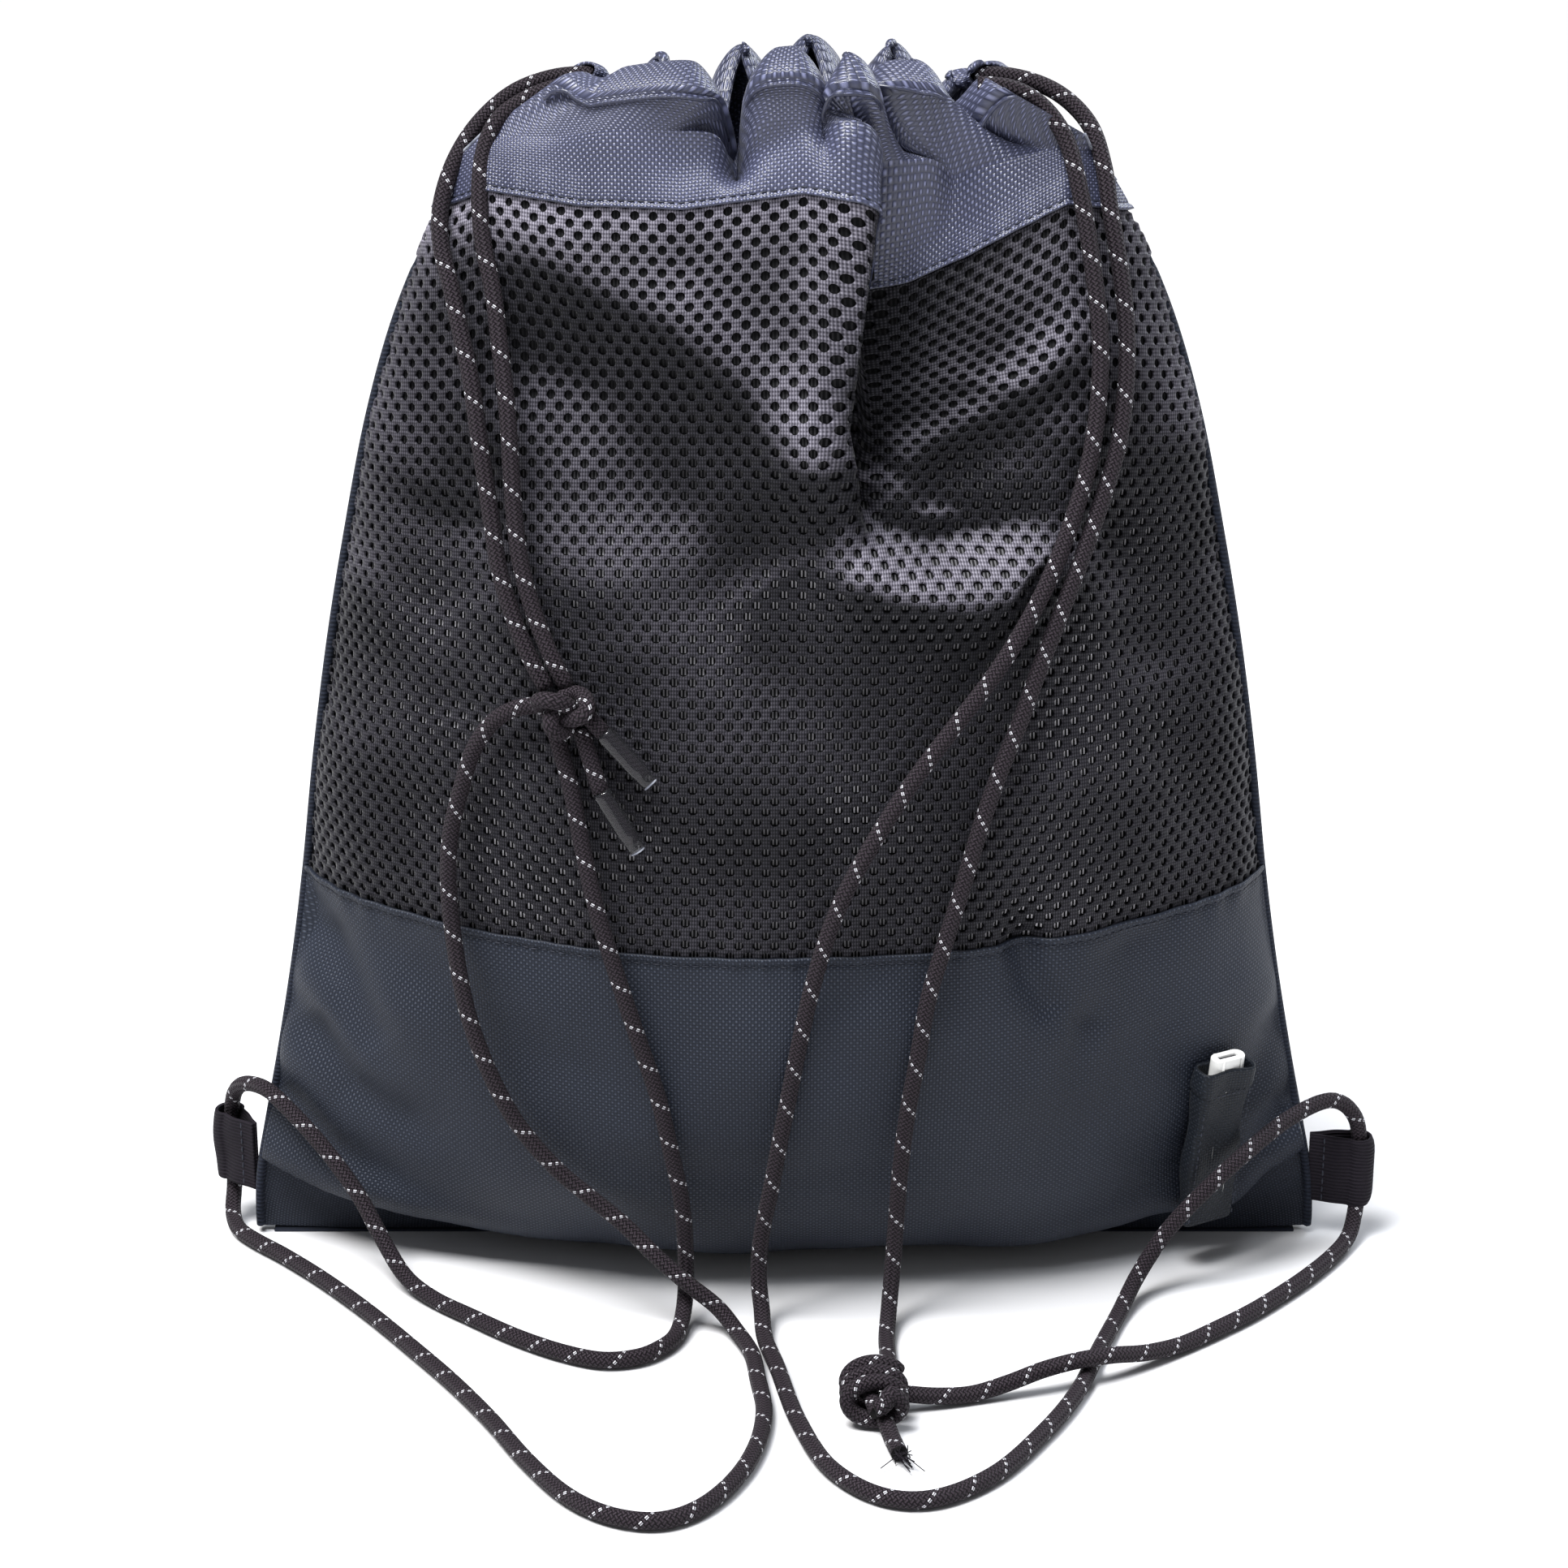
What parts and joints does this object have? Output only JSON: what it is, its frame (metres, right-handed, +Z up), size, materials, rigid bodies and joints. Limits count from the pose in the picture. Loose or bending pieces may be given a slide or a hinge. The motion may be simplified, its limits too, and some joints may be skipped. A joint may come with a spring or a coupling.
{
  "type": "drawstring backpack",
  "caption": "Upright filled cloth drawstring backpack with a mesh front, gathered mouth, corner cord tabs, a slim stick pocket and a braided drawcord on each side.",
  "frame": {"origin": "middle of the straight bottom seam, where it rests on the floor", "axes": "+Z up to the mouth, +X along the bottom seam to the wearer's-view right of the mesh front, -Y out of the mesh front"},
  "size_m": [0.3852, 0.2541, 0.3893],
  "materials": {
    "oxford_navy": "satin",
    "air_mesh": "matte",
    "binding_tape": "matte",
    "cord_braid": "matte",
    "tab_tape": "matte",
    "pocket_cloth": "matte",
    "white_plastic": "gloss",
    "clear_plastic": "gloss"
  },
  "bodies": {
    "bag": {"front_base_band": "oxford_navy", "back_base_band": "oxford_navy", "back_panel": "oxford_navy", "left_side_binding": "binding_tape", "right_side_binding": "binding_tape", "bottom_seam_tape": "binding_tape", "left_cord_front": "cord_braid", "left_cord_back": "cord_braid", "left_cord_out": "cord_braid", "left_cord_return": "cord_braid", "left_tail_upper": "cord_braid", "left_tail_lower": "cord_braid", "right_tail": "cord_braid", "right_cord_front": "cord_braid", "right_cord_return": "cord_braid", "right_cord_back": "cord_braid", "left_knot": "cord_braid", "right_knot": "cord_braid", "left_aglet_upper": "clear_plastic", "left_aglet_lower": "clear_plastic", "front_mesh_panel": "air_mesh", "left_tab": "tab_tape", "right_tab": "tab_tape", "pen_pocket": "pocket_cloth"},
    "front_collar": {"front_top_band": "oxford_navy", "front_channel": "oxford_navy", "front_run_left_cord": "cord_braid", "front_run_right_cord": "cord_braid"},
    "back_collar": {"back_top_band": "oxford_navy", "back_channel": "oxford_navy", "back_run_left_cord": "cord_braid", "back_run_right_cord": "cord_braid"},
    "stick": {"pocket_stick": "white_plastic"}
  },
  "joints": [
    {"name": "front_collar_hinge", "type": "hinge", "parent": "bag", "child": "front_collar", "pos_m": [0, -0.032, 0.35], "axis": [1, 0, 0], "range_deg": [0, 30]},
    {"name": "back_collar_hinge", "type": "hinge", "parent": "bag", "child": "back_collar", "pos_m": [0, 0.032, 0.35], "axis": [-1, 0, 0], "range_deg": [0, 30]},
    {"name": "stick_slide", "type": "slide", "parent": "bag", "child": "stick", "axis": [0.0696, -0.1205, 0.9903], "range_m": [0, 0.045]}
  ],
  "couplings": [
    {"joint": "back_collar_hinge", "follows": "front_collar_hinge", "ratio": 1}
  ]
}
